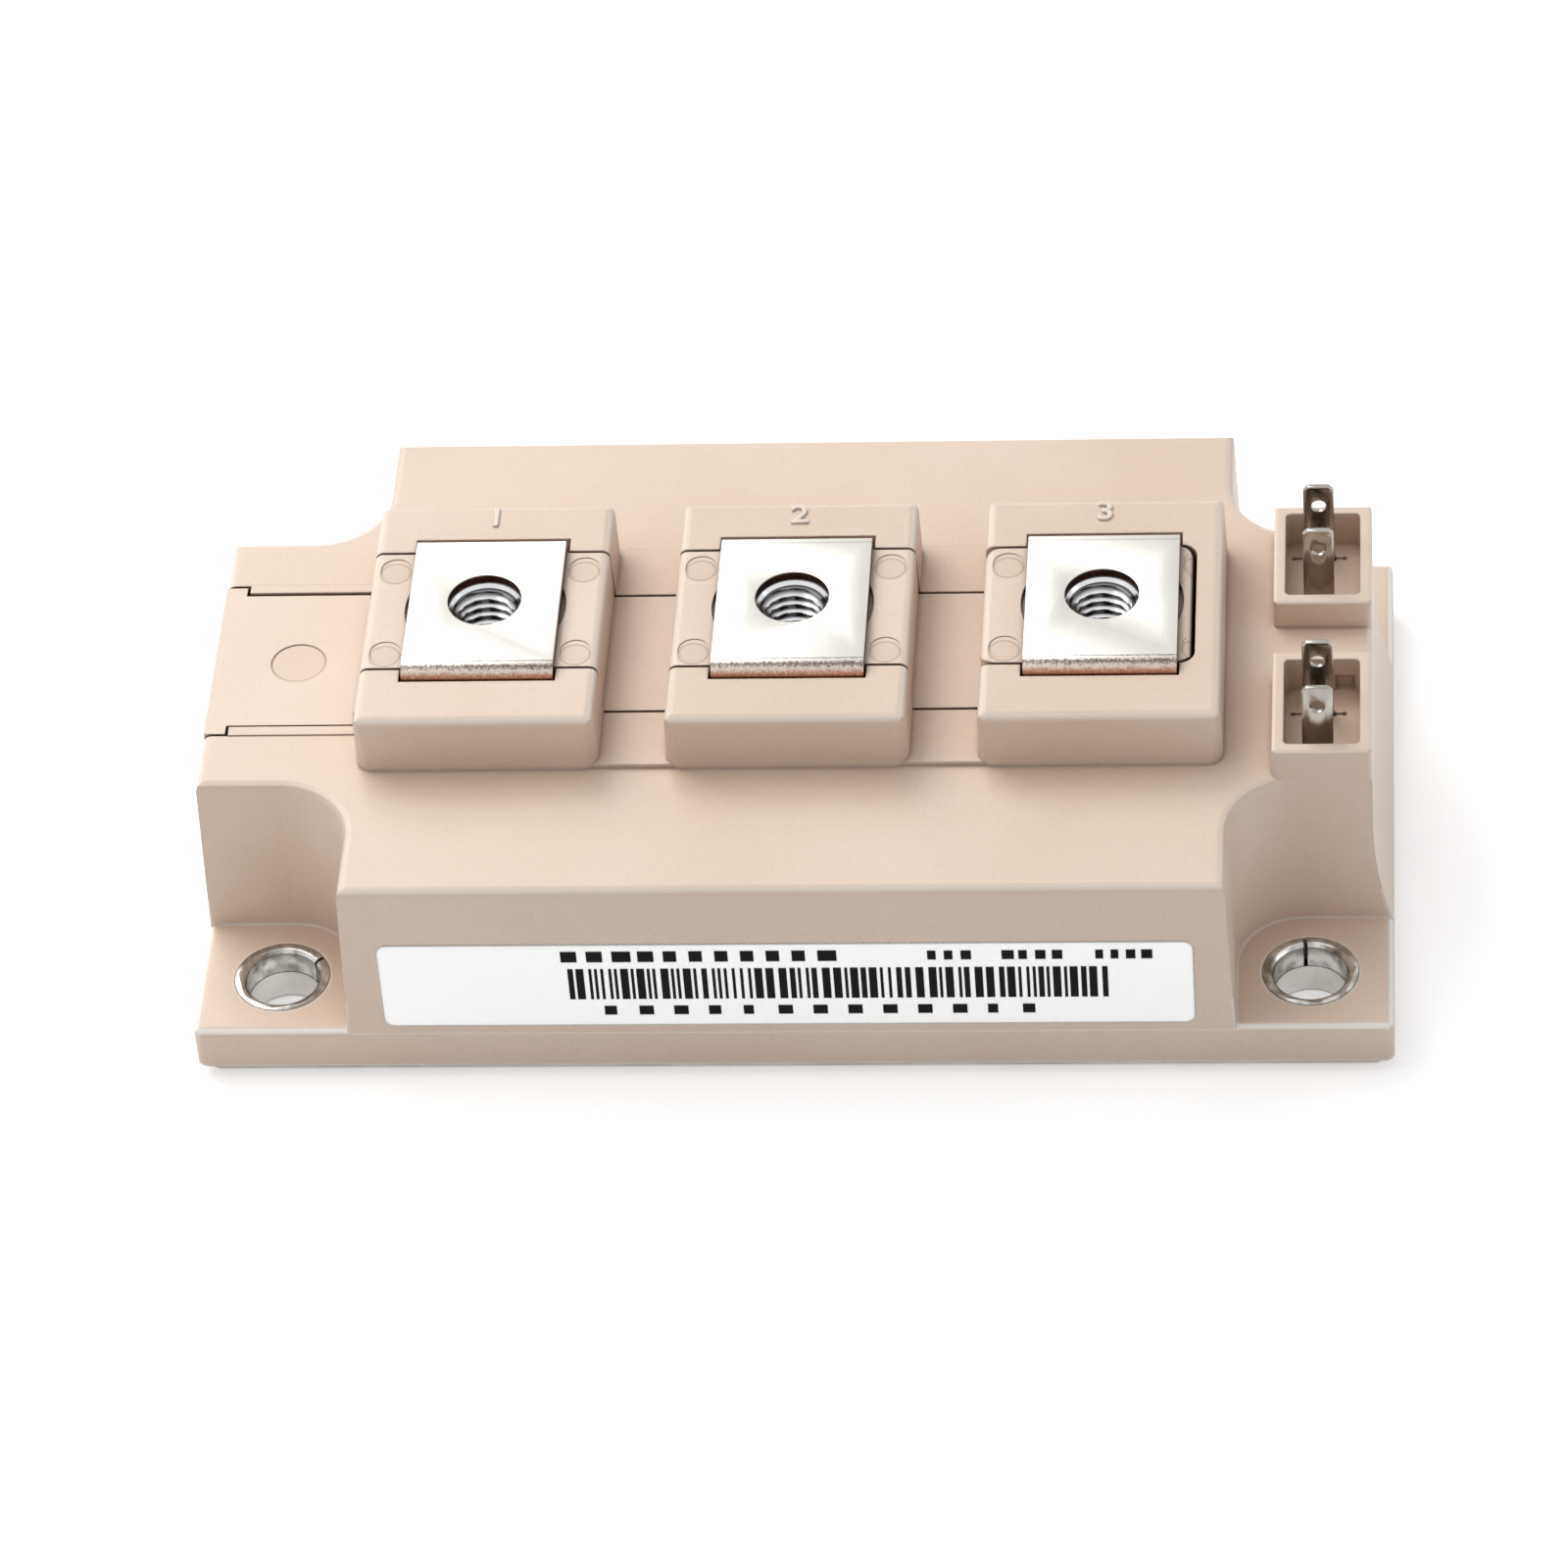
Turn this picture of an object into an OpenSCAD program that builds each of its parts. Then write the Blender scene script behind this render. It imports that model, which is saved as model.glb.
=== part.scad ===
/* [Base] */
// Overall length of the module
base_l = 108; // [104:1:140]
// Overall width of the module
base_w = 62; // [60:1:80]
// Height of the four fixing ears above the mounting face
ear_h = 5.6; // [4.8:0.1:7]
// Radius of the four outer corners
corner_r = 0.9; // [0.6:0.1:3]
// Thickness of the metal base plate
plate_t = 3; // [2.5:0.1:3.6]
// How far the base plate stands out below the housing
plate_proud = 1.25; // [0.3:0.05:1.5]
// Housing wall around the edge of the base plate
skirt_t = 0.85; // [0.7:0.05:2.4]

/* [Fixing holes] */
// Distance between the fixing holes along the length
hole_x = 93; // [88:1:94]
// Distance between the fixing holes across the width
hole_y = 48; // [44:1:50]
// Clear diameter of the fixing holes
hole_d = 6.6; // [5.4:0.1:7]
// Wall of the rolled steel collar in each ear
collar_t = 1.05; // [0.7:0.05:1.3]
// Width of the slit along each rolled collar
collar_slit = 0.25; // [0.15:0.05:0.5]

/* [Housing] */
// Length of the block that carries the terminals
block_l = 78.6; // [76:0.2:80]
// Width of the two ends between the ears
end_w = 33; // [32.8:0.2:36]
// Height of the shoulder around the terminal towers
shoulder_h = 22.4; // [20.5:0.1:23.5]
// Wall of the housing
wall = 1.8; // [1.4:0.1:2.4]
// Radius in the corners beside each ear
recess_r = 6; // [3:0.5:8]
// Rounding along the upper edges
edge_r = 0.8; // [0.3:0.1:1.2]
// Taper of the outer walls from shoulder to ear
draft = 0.6; // [0.3:0.1:1]
// Set-back of the end face under the control sockets
end_inset = 1.8; // [1:0.1:3]
// Radius of the flare from that end face to the ears
flare_r = 38.6; // [30:0.2:60]

/* [Terminal towers] */
// Distance between neighbouring main terminals
pitch = 28; // [26:0.5:28.4]
// Length of each tower
tower_l = 21.6; // [19:0.2:22]
// Height of the towers above the mounting face
tower_h = 28.3; // [26.5:0.1:32]
// Width of each tower across the module
tower_w = 29.2; // [27:0.2:32]
// Taper of the tower walls, on each side
tower_draft = 0.2; // [0:0.05:0.4]
// Radius of the towers' upright corners
tower_r = 1.5; // [0.9:0.1:3]
// Height of the floor between towers above the shoulder
rib_h = 0.45; // [0.2:0.05:1]

/* [Nut bar] */
// Width of the bar under the terminals
bar_w = 15.35; // [14:0.05:16]
// Offset of the bar's centre from the centre line
bar_y = 0.25; // [0:0.05:0.6]
// Height of the bar's underside above the mounting face
bar_floor = 14.9; // [13.5:0.1:15.8]
// Gap between the bar and the housing
bar_gap = 0.3; // [0.15:0.05:0.5]
// Distance from the last terminal to the bar's closed end
bar_tail = 8.15; // [7.8:0.05:8.6]
// Extra width on each side of the bar's outer part
bar_step = 1.1; // [0.6:0.1:1.4]
// Thickness of the head that closes the bar's slot
head_t = 1.95; // [1.2:0.05:3]

/* [Main terminals] */
// Width of each terminal strap
strap_w = 13.8; // [12:0.1:14]
// Thickness of each terminal strap
strap_t = 1; // [0.8:0.1:1.5]
// Clear diameter of the terminal hole
strap_hole_d = 6.7; // [6.4:0.1:7.4]
// Place of the terminal screw across the width
screw_y = 0.55; // [0.2:0.05:0.8]
// Distance from the screw to the strap's free end
strap_tail = 7.95; // [7:0.05:8.2]
// Gap between each strap's leg and the nut bar
leg_gap = 0.675; // [0.3:0.025:1]
// Inside radius of the strap's bends
bend_r = 0.6; // [0.4:0.1:1]
// Gap around the strap where it enters the tower
strap_gap = 0.2; // [0.15:0.05:0.5]
// Distance across the flats of the captive nut
nut_af = 10; // [9:0.5:11]
// Height of the captive nut
nut_h = 5; // [4:0.5:6]
// Diameter of the nut's threaded bore at the thread crests
nut_bore_d = 5; // [4.2:0.1:5.2]

/* [Control sockets] */
// Length of each socket along the module
socket_l = 8.9; // [8:0.1:10]
// Width of each socket across the module
socket_w = 13.2; // [12.6:0.1:14]
// Height of the sockets above the shoulder
socket_h = 3.1; // [2:0.05:4]
// Wall of the sockets
socket_t = 1.05; // [0.7:0.05:1.2]
// Depth of the socket floor below the shoulder
socket_sink = 0.65; // [0.4:0.05:1.2]
// Width of the control tabs
tab_w = 2.8; // [2.4:0.1:3.2]
// Thickness of the control tabs
tab_t = 0.5; // [0.4:0.1:0.8]
// Distance between the two tabs in one socket
tab_pair = 6; // [5:0.1:6.5]
// Offset of each pair of tabs, outwards from its socket's middle
tab_shift = 0.6; // [0:0.1:0.8]
// Height of the tab tips above the mounting face
tab_h = 30.6; // [29:0.1:34]
// Diameter of the hole in each tab
tab_hole_d = 1.3; // [1:0.1:1.6]

/* [Power stage] */
// Gap between the ceramic substrates and the housing's end walls
dcb_edge = 1.2; // [0.8:0.1:2]
// Half the gap between the two substrates
dcb_mid = 1.3; // [1:0.1:2]
// Width of each ceramic substrate
dcb_w = 46; // [44:0.5:48]
// Thickness of the copper on each side of a ceramic
copper_t = 0.3; // [0.2:0.05:0.4]
// Thickness of each ceramic
ceramic_t = 0.65; // [0.4:0.05:1]
// Thickness of the silicon chips
chip_t = 0.3; // [0.2:0.05:0.4]
// Side of each transistor chip
igbt_s = 12.4; // [10:0.2:12.6]
// Side of each diode chip
diode_s = 8.8; // [7:0.2:9]
// Diameter of the bond wires
wire_d = 0.4; // [0.3:0.05:0.5]
// Air between the silicone gel and the lowest part of the trough
gel_air = 0.85; // [0.3:0.05:2]

/* [Label] */
// Length of the label film
label_l = 72.8; // [50:0.2:74]
// Height of the label film
label_h = 9.8; // [6:0.1:10.5]
// Thickness of the label film
label_t = 0.1; // [0.04:0.02:0.12]
// Height of the label's lower edge above the mounting face
label_z = 6.2; // [4.5:0.1:7.5]

/* [Hidden] */
$fn = 64;
EPS = 0.01;
OVER = 5;

// Half sizes and levels that several pieces share
half_l = base_l / 2;
half_w = base_w / 2;
top_half_w = half_w - draft;
right_end = half_l - end_inset;
plate_gap = 0.15;
collar_play = 0.03;
plate_l = base_l - 2 * skirt_t - 2 * plate_gap;
plate_w = base_w - 2 * skirt_t - 2 * plate_gap;
hollow_top = shoulder_h - wall;
trough_floor = bar_floor - wall;
gel_h = trough_floor - head_t - gel_air;
rib_top = shoulder_h + rib_h;
rise = shoulder_h - ear_h;

// The bar's slot and its stepped, wider left part
bar_low = bar_y - bar_w / 2;
bar_high = bar_y + bar_w / 2;
bar_right = pitch + bar_tail;
bar_r = min(1.5, bar_tail + bar_gap - strap_w / 2);
wide_right = -pitch - tower_l / 2 - 1.1;
head_right = -half_l + draft + head_t;
wide_low = bar_low - bar_step;
wide_high = bar_high + bar_step;
ledge_h = 0.12;
mark_t = 0.08;
mark_d = 2.8;
big_mark_d = 5;
mark_x = 8.65;
mark_ys = [-5.85, 5.35];
relief_h = 0.4;
relief_gap = 0.45;
nut_play = 0.1;
screw_room = 1.6;
head_low = wide_low - bar_step;
head_high = wide_high + bar_step;

// Strap levels
strap_top = tower_h + strap_t;
strap_front = bar_low - leg_gap - strap_t;
strap_back = screw_y + strap_tail;
slot_w = strap_w + 2 * strap_gap;
notch_back = strap_back + 1.4;

// Control sockets, from the far one to the near one
socket_right = right_end;
socket_left = right_end - socket_l;
socket_top = shoulder_h + socket_h;
socket_floor = shoulder_h - socket_sink;
socket_ys = [end_w / 2 - socket_w, -end_w / 2];
tab_x = socket_left + socket_l / 2 - 0.35;
tab_ys = [for (s = [1, -1], t = [1, -1]) s * (end_w / 2 - socket_w / 2 + tab_shift) + t * tab_pair / 2];
tab_clear = 0.1;
slot_pip = 2.3;
slot_deep = 0.4;
pocket_in = 0.5;
pocket_h = 1.8;

// Stack of the power stage on the base plate
ceramic_z = plate_t + copper_t;
track_z = ceramic_z + ceramic_t;
chip_z = track_z + copper_t;
wire_z = chip_z + chip_t;
stitch_w = wire_d + 0.2;
stitch_l = 1.4;
stitch_t = 0.2;
dcb_l = block_l / 2 - wall - dcb_edge - dcb_mid;
dcb_x = dcb_mid + dcb_l / 2;
dcb_y = -0.75;
pad_w = 2.5;
pad_x = dcb_l / 2 - pad_w - 0.7;
track_gap = 0.8;
track_half = 1.3;
chip_mid = -2.8;
chip_gap = 2;
chip_xs = [for (s = [-1, 1]) chip_mid + s * (igbt_s + chip_gap) / 2];
igbt_y = 9.6;
diode_y = -14.6;
strip_y = 19.5;
anode_y = -21.6;
foot_l = 4;
foot_w = 8;
foot_edge = 0.3;
foot_out = dcb_x + pad_x - track_gap - foot_edge - foot_w / 2;
foot_xs = [-foot_out, -dcb_x + dcb_l / 2 - 5.5, foot_out];

module round_rect(x0, y0, x1, y1, r) {
    translate([x0 + r, y0]) square([x1 - x0 - 2 * r, y1 - y0]);
    translate([x0, y0 + r]) square([x1 - x0, y1 - y0 - 2 * r]);
    for (x = [x0 + r, x1 - r], y = [y0 + r, y1 - r]) translate([x, y]) circle(r);
}

// An upright shape whose sides lean in by d, with two rounded upper corners
module soft_top(x0, x1, z0, z1, r, d = 0) {
    polygon([[x0 - d, z0], [x1 + d, z0], [x1, z1 - r], [x0, z1 - r]]);
    translate([x0 + r, z0]) square([x1 - x0 - 2 * r, z1 - z0]);
    for (x = [x0 + r, x1 - r]) translate([x, z1 - r]) circle(r);
}

// Turns a section drawn across the module into a bar along it
module along_x(l) {
    rotate([90, 0, 90]) linear_extrude(l, center = true) children();
}

// Turns a section drawn along the module into a bar across it
module along_y(l) {
    rotate([90, 0, 0]) linear_extrude(l, center = true) children();
}

// A block with rounded upright corners, rounded upper edges and sides that lean in by d
module moulded_block(x0, x1, y0, y1, z0, z1, r, e, d = 0) {
    intersection() {
        translate([0, 0, z0]) linear_extrude(z1 - z0) round_rect(x0 - d, y0 - d, x1 + d, y1 + d, r);
        translate([0, (y0 + y1) / 2, 0]) along_y(y1 - y0 + 2) soft_top(x0, x1, z0, z1, e, d);
        translate([(x0 + x1) / 2, 0, 0]) along_x(x1 - x0 + 2) soft_top(y0, y1, z0, z1, e, d);
    }
}

// ---- Housing ----

// The space beyond two leaning walls and the tapered corner between them, which
// pass through radius r at height z and open out by slope; it starts below z
module leaning_corner(r, z, slope, below) {
    z0 = z - below;
    z1 = shoulder_h + OVER;
    r0 = r - slope * below;
    r1 = r + slope * (z1 - z);
    translate([0, 0, z0]) cylinder(h = z1 - z0, r1 = r0, r2 = r1);
    translate([0, half_w / 2, 0]) along_y(half_w)
        polygon([[-r0, z0], [half_l, z0], [half_l, z1], [-r1, z1]]);
    translate([half_l / 2, 0, 0]) along_x(half_l)
        polygon([[-r0, z0], [half_w, z0], [half_w, z1], [-r1, z1]]);
}

// The space over one ear, whose upper edge is broken in two steps
module ear_recess() {
    k = draft / rise;
    e = 0.9 * edge_r;
    step = 0.3 * e;
    rim = recess_r + k * (rise - e);
    translate([block_l / 2 + draft + recess_r, end_w / 2 + draft + recess_r, 0]) {
        leaning_corner(recess_r + k * rise, shoulder_h, k, shoulder_h);
        leaning_corner(rim, shoulder_h - e, step / (e - step), 0.4);
        leaning_corner(rim + step, shoulder_h - step, (e - step) / step, 0.1);
    }
}

// Section across the module, with leaning long faces
module cross_section() {
    knee = shoulder_h - edge_r;
    y1 = half_w - (half_w - top_half_w) * (knee - plate_proud) / (shoulder_h - plate_proud);
    polygon([[-half_w, plate_proud], [half_w, plate_proud], [y1, knee], [-y1, knee]]);
    translate([-y1 + edge_r, plate_proud]) square([2 * (y1 - edge_r), shoulder_h - plate_proud]);
    for (s = [-1, 1]) translate([s * (y1 - edge_r), knee]) circle(edge_r);
}

// Section along the module: one end leans, the other flares out to the ears
module long_section() {
    knee = shoulder_h - edge_r;
    left = -half_l + draft;
    flare_top = shoulder_h - 5.8;
    difference() {
        union() {
            polygon([[-half_l, plate_proud], [half_l, plate_proud], [half_l, flare_top],
                     [right_end, flare_top], [right_end, knee], [left, knee]]);
            translate([left + edge_r, knee]) square([right_end - left - 2 * edge_r, edge_r]);
            for (x = [left + edge_r, right_end - edge_r]) translate([x, knee]) circle(edge_r);
        }
        translate([right_end + flare_r, flare_top]) circle(flare_r, $fn = 256);
    }
}

module ear_slab() {
    moulded_block(-half_l, half_l, -half_w, half_w, plate_proud, ear_h, corner_r, edge_r);
}

module cross_body() {
    difference() {
        intersection() {
            translate([0, 0, plate_proud]) linear_extrude(shoulder_h)
                round_rect(-half_l, -half_w, half_l, half_w, corner_r);
            along_x(base_l + 2) cross_section();
            along_y(base_w + 2) long_section();
        }
        for (a = [0, 1], b = [0, 1]) mirror([a, 0, 0]) mirror([0, b, 0]) ear_recess();
    }
}

module towers() {
    for (x = [-pitch, 0, pitch])
        moulded_block(x - tower_l / 2, x + tower_l / 2, -tower_w / 2, tower_w / 2,
                      shoulder_h - 1, tower_h, tower_r, edge_r, tower_draft);
    span = pitch - tower_l / 2 + 2;
    translate([-span, -tower_w / 2, shoulder_h - 1]) cube([2 * span, tower_w, rib_h + 1]);
}

module sockets() {
    for (y0 = socket_ys)
        moulded_block(socket_left, socket_right, y0, y0 + socket_w,
                      shoulder_h - 1, socket_top, 0.5, 0.3);
}

// Cavity of each socket, with the slots its two tabs stand in
module socket_hollows() {
    t = socket_t;
    for (y0 = socket_ys)
        translate([0, 0, socket_floor]) linear_extrude(OVER * 3)
            round_rect(socket_left + t, y0 + t, socket_right - t, y0 + socket_w - t, 0.5);
    for (y = tab_ys) translate([tab_x, y, 0]) {
        translate([-tab_w / 2 - tab_clear, -tab_t / 2 - tab_clear, hollow_top - 1])
            cube([tab_w + 2 * tab_clear, tab_t + 2 * tab_clear, OVER]);
        // shallow groove along the tab, with a round relief at each end
        translate([0, 0, socket_floor - slot_deep]) linear_extrude(OVER) {
            square([2 * slot_pip, tab_t / 2], center = true);
            for (x = [-slot_pip, slot_pip]) translate([x, 0]) circle(d = tab_t);
        }
    }
    // key pocket in the far wall of the near socket
    translate([tab_x + tab_w / 2 + tab_clear, socket_ys[1] + socket_w - t - EPS, socket_floor])
        cube([socket_right - t - 0.5 - tab_x - tab_w / 2 - tab_clear, pocket_in + EPS, pocket_h]);
}

// Slot for the nut bar, open above and at the left end
module bar_slot() {
    g = bar_gap;
    translate([0, 0, bar_floor]) {
        linear_extrude(OVER * 4) {
            translate([-half_l, bar_low - g]) square([half_l + bar_right + g - bar_r, bar_w + 2 * g]);
            translate([bar_right - bar_r - OVER, bar_low - g + bar_r])
                square([OVER + bar_r + g, bar_w + 2 * g - 2 * bar_r]);
            for (y = [bar_low - g + bar_r, bar_high + g - bar_r])
                translate([bar_right + g - bar_r, y]) circle(bar_r);
        }
        translate([-half_l - 1, wide_low - g, 0])
            cube([wide_right + g + half_l + 1, wide_high - wide_low + 2 * g, OVER * 4]);
        translate([-half_l - 1, head_low - g, -head_t])
            cube([head_right + g + half_l + 1, head_high - head_low + 2 * g, OVER * 4]);
    }
}

// Low rails beside the wide part of the slot
module rails() {
    for (y = [head_low - bar_gap, wide_high + bar_gap])
        translate([head_right + bar_gap, y, shoulder_h - 1])
            cube([wide_right - head_right, bar_step, ledge_h + 1]);
}

// Openings through which each strap leaves the housing, and the notch behind it
module strap_slots() {
    for (i = [-1:1]) {
        x0 = i * pitch - slot_w / 2;
        translate([x0, strap_front - strap_gap, trough_floor - 1])
            cube([slot_w, bar_low - bar_gap - strap_front + strap_gap + EPS, OVER * 4]);
        translate([x0, bar_high, tower_h - 1.5])
            cube([slot_w, notch_back - bar_high, OVER]);
    }
}

// The room inside the housing, left around the trough that holds the nut bar
module housing_hollow() {
    difference() {
        union() {
            translate([-block_l / 2 + wall, -top_half_w + wall, -1])
                cube([block_l - 2 * wall, 2 * (top_half_w - wall), hollow_top + 1]);
            translate([-half_l + draft + wall, -end_w / 2 + wall, -1])
                cube([right_end + half_l - draft - 2 * wall, end_w - 2 * wall, hollow_top + 1]);
        }
        translate([-half_l, wide_low - bar_gap - wall, trough_floor])
            cube([half_l + wide_right + wall + bar_gap, wide_high - wide_low + 2 * (wall + bar_gap), OVER * 4]);
        translate([-half_l, bar_low - bar_gap - wall, trough_floor])
            cube([half_l + bar_right + wall + bar_gap, bar_w + 2 * (wall + bar_gap), OVER * 4]);
        translate([-half_l, head_low - bar_gap - wall, trough_floor - head_t])
            cube([head_right + half_l + wall + bar_gap, head_high - head_low + 2 * (wall + bar_gap), OVER * 4]);
    }
}

module housing() {
    color("#e9d3bd") difference() {
        union() {
            ear_slab();
            cross_body();
            towers();
            rails();
            sockets();
        }
        housing_hollow();
        translate([0, 0, -1]) linear_extrude(plate_t + 1)
            round_rect(skirt_t - half_l, skirt_t - half_w, half_l - skirt_t, half_w - skirt_t, corner_r);
        for (x = [-1, 1], y = [-1, 1])
            translate([x * hole_x / 2, y * hole_y / 2, 0]) cylinder(h = OVER * 2, d = hole_d + 2 * collar_t);
        bar_slot();
        strap_slots();
        socket_hollows();
    }
}

// ---- Base plate and collars ----

module base_plate() {
    color("#c9c7c2") difference() {
        linear_extrude(plate_t) round_rect(-plate_l / 2, -plate_w / 2, plate_l / 2, plate_w / 2, corner_r);
        for (x = [-1, 1], y = [-1, 1])
            translate([x * hole_x / 2, y * hole_y / 2, -1]) cylinder(h = plate_t + 2, d = hole_d);
    }
}

// A rolled steel collar that takes the load of one fixing screw
module collar(i) {
    x = (i == 1 || i == 3 ? -1 : 1) * hole_x / 2;
    y = (i <= 2 ? -1 : 1) * hole_y / 2;
    slit_at = [35, 98, 150, 260][i - 1];
    h = ear_h - plate_t + 0.08;
    color("#d8d8d6") translate([x, y, plate_t]) difference() {
        cylinder(h = h, d = hole_d + 2 * (collar_t - collar_play));
        translate([0, 0, -1]) cylinder(h = h + 2, d = hole_d);
        translate([0, 0, h - 0.35]) cylinder(h = 0.4, d1 = hole_d, d2 = hole_d + 0.8);
        rotate([0, 0, slit_at]) translate([hole_d / 2 - 1, -collar_slit / 2, -1])
            cube([collar_t + 2, collar_slit, h + 2]);
    }
}

// ---- Nut bar ----

module bar_solid() {
    low = bar_floor;
    // rail between and under the towers
    translate([wide_right - EPS, bar_low, low])
        cube([bar_right - bar_tail - wide_right, bar_w, rib_top - low]);
    // wide part and head outside the towers
    translate([head_right - EPS, wide_low, low])
        cube([wide_right - head_right + EPS, wide_high - wide_low, shoulder_h - low]);
    translate([-half_l + draft, head_low, low - head_t])
        cube([head_t, head_high - head_low, shoulder_h - low + head_t]);
    // raised pads, level with the towers
    for (i = [-1:1]) {
        x1 = i == 1 ? bar_right : i * pitch + tower_l / 2;
        translate([0, bar_y, 0]) intersection() {
            along_y(bar_w) soft_top(i * pitch - tower_l / 2, x1, low, tower_h, edge_r);
            linear_extrude(OVER * 8)
                round_rect(i * pitch - tower_l / 2, -bar_w / 2, x1, bar_w / 2, i == 1 ? bar_r : EPS);
        }
    }
}

module nut_bar() {
    color("#ead6c2") difference() {
        bar_solid();
        for (i = [-1:1]) translate([i * pitch, screw_y, 0]) {
            // hexagonal pocket, its relief ring and the room under the nut for the screw
            translate([0, 0, tower_h - nut_h])
                cylinder(h = nut_h + 1, d = (nut_af + 2 * nut_play) / cos(30), $fn = 6);
            translate([0, 0, tower_h - relief_h]) cylinder(h = 1, d = strap_w + 2 * relief_gap);
            translate([0, 0, bar_floor + screw_room]) cylinder(h = OVER * 3, d = strap_hole_d);
            for (x = [-1, 1], y = mark_ys)
                translate([x * mark_x, y, tower_h - mark_t]) cylinder(h = 1, d = mark_d);
        }
        translate([(wide_right + head_right) / 2, bar_y - 0.4, shoulder_h - mark_t])
            cylinder(h = 1, d = big_mark_d);
    }
}

module nut(i) {
    color("#b9bcc0") translate([i * pitch, screw_y, tower_h - nut_h]) difference() {
        intersection() {
            cylinder(h = nut_h, d = nut_af / cos(30), $fn = 6);
            cylinder(h = nut_h, d1 = nut_af + 2 * nut_h, d2 = nut_af - 0.3);
            cylinder(h = nut_h, d1 = nut_af - 0.3, d2 = nut_af + 2 * nut_h);
        }
        translate([0, 0, -1]) cylinder(h = nut_h + 2, d = nut_bore_d);
        translate([0, 0, nut_h - 0.7]) cylinder(h = 0.71, d1 = nut_bore_d, d2 = nut_bore_d + 1.42);
    }
}

// ---- Main terminals ----

// A quarter bend of strap, from the top flat down into the leg
module bend(w, r) {
    rotate([90, 0, 90]) rotate_extrude(angle = 90)
        translate([r, -w / 2]) square([strap_t, w]);
}

module terminal(i) {
    x = (i - 2) * pitch;
    foot_x = foot_xs[i - 1];
    r = bend_r;
    y_in = strap_front + strap_t + r;
    low = chip_z;
    turn = low + strap_t + r;
    waist = gel_h - 1;
    leg_x0 = min(x - strap_w / 2, foot_x - foot_w / 2);
    leg_x1 = i == 2 ? x + strap_w / 2 : max(x + strap_w / 2, foot_x + foot_w / 2);
    color("#d5d3cc") difference() {
        union() {
            translate([x - strap_w / 2, y_in, tower_h]) cube([strap_w, strap_back - y_in, strap_t]);
            translate([x, y_in, tower_h - r]) mirror([0, 1, 0]) bend(strap_w, r);
            // leg down beside the nut bar
            translate([x - strap_w / 2, strap_front, waist]) cube([strap_w, strap_t, tower_h - r - waist]);
            translate([min(leg_x0, x - strap_w / 2), strap_front, waist - 1.5])
                cube([leg_x1 - leg_x0, strap_t, 1.5]);
            translate([foot_x - foot_w / 2, strap_front, turn]) cube([foot_w, strap_t, waist - 1.5 - turn]);
            // foot soldered to the copper
            translate([foot_x, y_in, turn]) mirror([0, 1, 0]) mirror([0, 0, 1]) bend(foot_w, r);
            translate([foot_x - foot_w / 2, y_in, low]) cube([foot_w, foot_l, strap_t]);
        }
        translate([x, screw_y, tower_h - 1]) cylinder(h = strap_t + 2, d = strap_hole_d);
    }
}

// ---- Control tabs ----

module control_tab(i) {
    y = tab_ys[i - 1];
    foot_right = dcb_x + dcb_l / 2 - 1.2;
    neck = 1.6;
    run_z = plate_t + 4.2;
    blade_z = hollow_top - 1.5;
    c = 0.45;
    color("#d9d7cf") {
        translate([0, y, 0]) along_y(tab_t) difference() {
            union() {
                polygon([[tab_x - tab_w / 2, blade_z], [tab_x + tab_w / 2, blade_z],
                         [tab_x + tab_w / 2, tab_h - c], [tab_x + tab_w / 2 - c, tab_h],
                         [tab_x - tab_w / 2 + c, tab_h], [tab_x - tab_w / 2, tab_h - c]]);
                translate([tab_x - neck / 2, run_z]) square([neck, blade_z - run_z + EPS]);
                translate([foot_right - neck, run_z]) square([tab_x - foot_right + 1.5 * neck, neck]);
                translate([foot_right - neck, chip_z]) square([neck, run_z - chip_z + EPS]);
            }
            translate([tab_x, tab_h - 2.3]) circle(d = tab_hole_d);
        }
        translate([foot_right - neck, y - tab_t / 2, chip_z]) cube([neck, 1.4, tab_t]);
    }
}

// ---- Power stage ----

module ceramic(s) {
    color("#f2f0ea") translate([s * dcb_x - dcb_l / 2, dcb_y - dcb_w / 2, ceramic_z])
        cube([dcb_l, dcb_w, ceramic_t]);
}

module back_copper(s) {
    inset = 0.8;
    color("#c98a5a") translate([s * dcb_x - dcb_l / 2 + inset, dcb_y - dcb_w / 2 + inset, plate_t])
        cube([dcb_l - 2 * inset, dcb_w - 2 * inset, copper_t]);
}

module copper_tracks(s) {
    left = -dcb_l / 2 + 1;
    gap = track_gap;
    color("#c98a5a") translate([s * dcb_x, 0, track_z]) linear_extrude(copper_t) {
        // collector island under the chips and the strap's foot
        translate([left, anode_y + track_half + gap])
            square([pad_x - gap - left, strip_y - anode_y - 2 * (track_half + gap)]);
        if (s < 0) translate([0, strap_front - 0.5]) square([dcb_l / 2 - 1, foot_l + 2.6]);
        // emitter and anode strips
        for (y = [strip_y, anode_y]) translate([left, y - track_half]) square([pad_x - gap - left, 2 * track_half]);
        // control pads
        for (y = s > 0 ? tab_ys : [tab_ys[0], tab_ys[1]])
            translate([pad_x, y - 1.6]) square([pad_w, 3.4]);
    }
}

module chip(x, y, side, shade) {
    color(shade) translate([x - side / 2, y - side / 2, chip_z]) cube([side, side, chip_t]);
}

module igbt_chip(i) {
    s = i <= 2 ? -1 : 1;
    chip(s * dcb_x + chip_xs[(i - 1) % 2], igbt_y, igbt_s, "#8d949c");
}

module diode_chip(i) {
    s = i <= 2 ? -1 : 1;
    chip(s * dcb_x + chip_xs[(i - 1) % 2], diode_y, diode_s, "#9aa0a6");
}

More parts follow.
